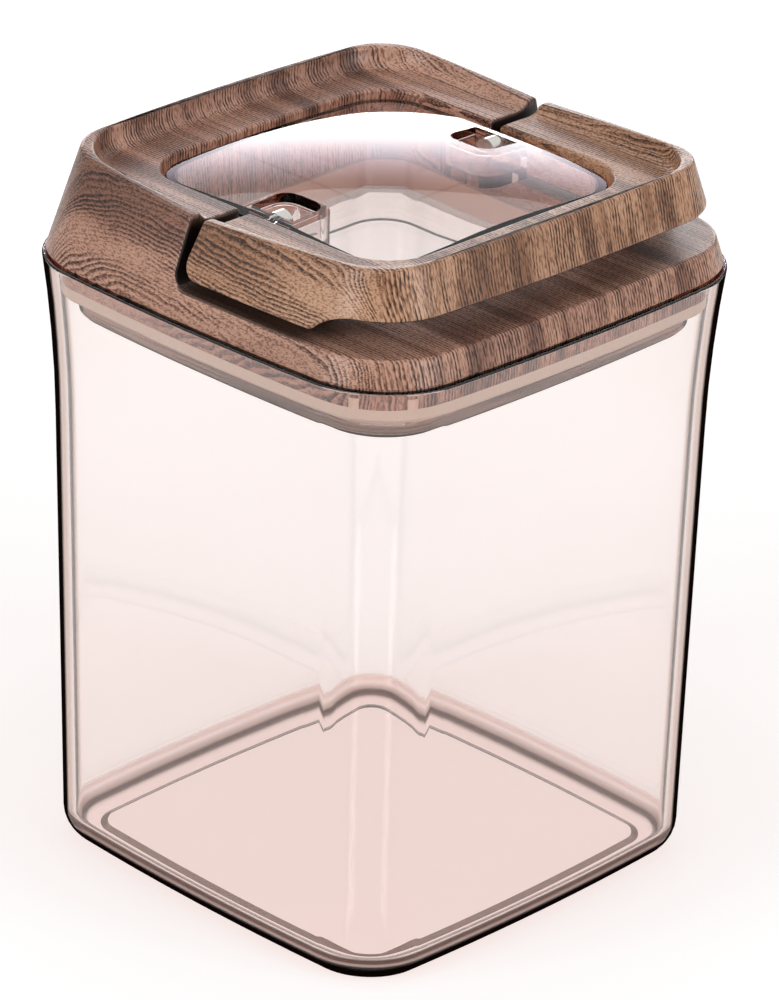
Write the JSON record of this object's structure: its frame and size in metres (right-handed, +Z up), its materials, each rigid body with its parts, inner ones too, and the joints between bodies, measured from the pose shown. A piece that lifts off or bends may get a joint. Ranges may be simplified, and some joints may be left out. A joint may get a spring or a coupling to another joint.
{
  "type": "food storage container",
  "caption": "Clear square storage jar with a wood-look lid whose flip handle works a cam that squeezes a silicone gasket to seal it.",
  "frame": {"origin": "middle of the base, on the surface it stands on", "axes": "+Z up through the lid, the handle's finger side faces -Y, the hinge pins lie along X"},
  "size_m": [0.105, 0.105, 0.1466],
  "materials": {
    "jar_plastic": "clear, faint rose tint",
    "lid_wood_look": "printed walnut grain, satin",
    "ring_plastic": "moulded",
    "silicone": "matt",
    "window_plastic": "clear, polished",
    "pin_steel": "bright"
  },
  "bodies": {
    "jar_body": {"jar": "jar_plastic"},
    "lid": {"lid_frame": "lid_wood_look", "lid_inner_ring": "ring_plastic", "gasket": "silicone"},
    "plunger": {"plunger_window": "window_plastic", "plunger_plate": "window_plastic"},
    "handle": {"flip_handle": "lid_wood_look", "pivot_pin_left": "pin_steel", "pivot_pin_right": "pin_steel"}
  },
  "joints": [
    {"name": "lid_lift", "type": "slide", "parent": "jar_body", "child": "lid", "axis": [0, 0, 1], "range_m": [0, 0.045]},
    {"name": "plunger_drop", "type": "slide", "parent": "lid", "child": "plunger", "axis": [0, 0, -1], "range_m": [0, 0.0016], "deforming": ["gasket"]},
    {"name": "handle_flip", "type": "hinge", "parent": "plunger", "child": "handle", "pos_m": [0, 0, 0.1392], "axis": [-1, 0, 0], "range_deg": [0, 80]}
  ],
  "couplings": [
    {"joint": "plunger_drop", "follows": "handle_flip", "m_per_rad": 0.001145}
  ]
}
